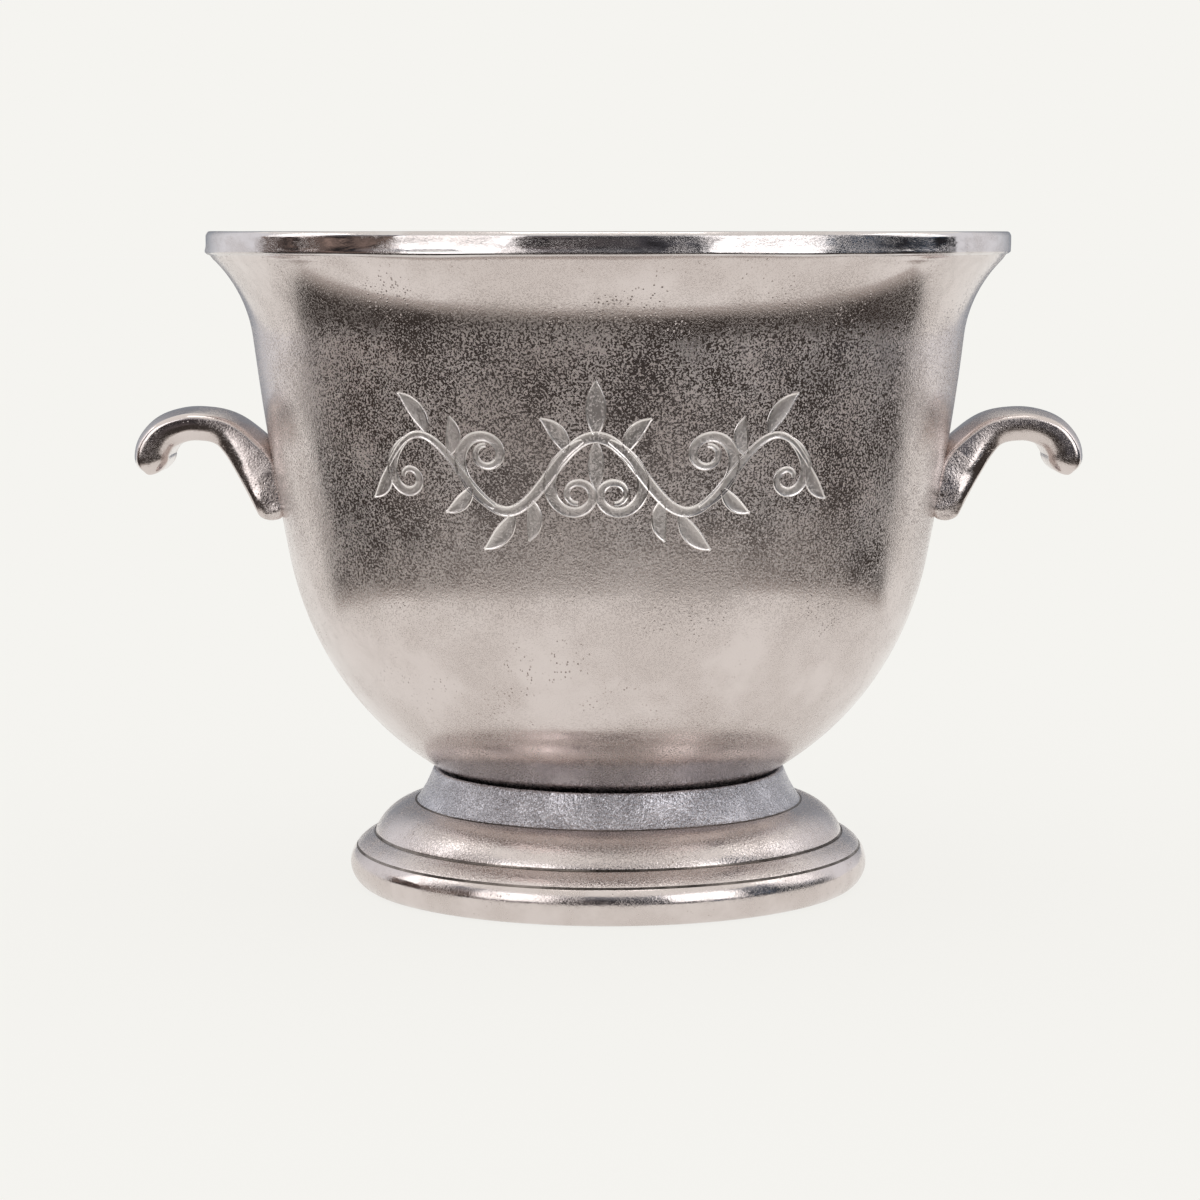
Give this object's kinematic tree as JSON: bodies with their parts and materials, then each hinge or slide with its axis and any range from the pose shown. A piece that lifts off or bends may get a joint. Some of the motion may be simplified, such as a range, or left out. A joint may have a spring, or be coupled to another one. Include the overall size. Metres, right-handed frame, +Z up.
{
  "type": "footed champagne bucket",
  "caption": "Footed champagne bucket: a deep flared cast metal bowl with a thick rolled lip, hook handles on opposite sides, and a stepped round pedestal foot bolted beneath.",
  "frame": {"origin": "middle of the foot's flat base, on the surface that the bucket stands on", "axes": "+Z up, the handles along +X and -X, the front towards -Y"},
  "size_m": [0.3572, 0.3006, 0.2455],
  "materials": {
    "bowl_metal": "sand-cast aluminium, nickel plated and polished over the casting grain",
    "foot_metal": "sand-cast aluminium, nickel plated, mouldings polished and neck left as cast",
    "handle_metal": "sand-cast aluminium, nickel plated and polished",
    "fastener_steel": "zinc plated steel",
    "seal_rubber": "matte moulded rubber"
  },
  "bodies": {
    "root": {"bowl": "bowl_metal", "foot": "foot_metal", "handle_left": "handle_metal", "handle_right": "handle_metal", "foot_bolt": "fastener_steel", "foot_washer": "fastener_steel", "foot_nut": "fastener_steel", "handle_screws": "fastener_steel", "bowl_seal_washer": "seal_rubber", "handle_screw_washers": "seal_rubber"}
  },
  "joints": []
}
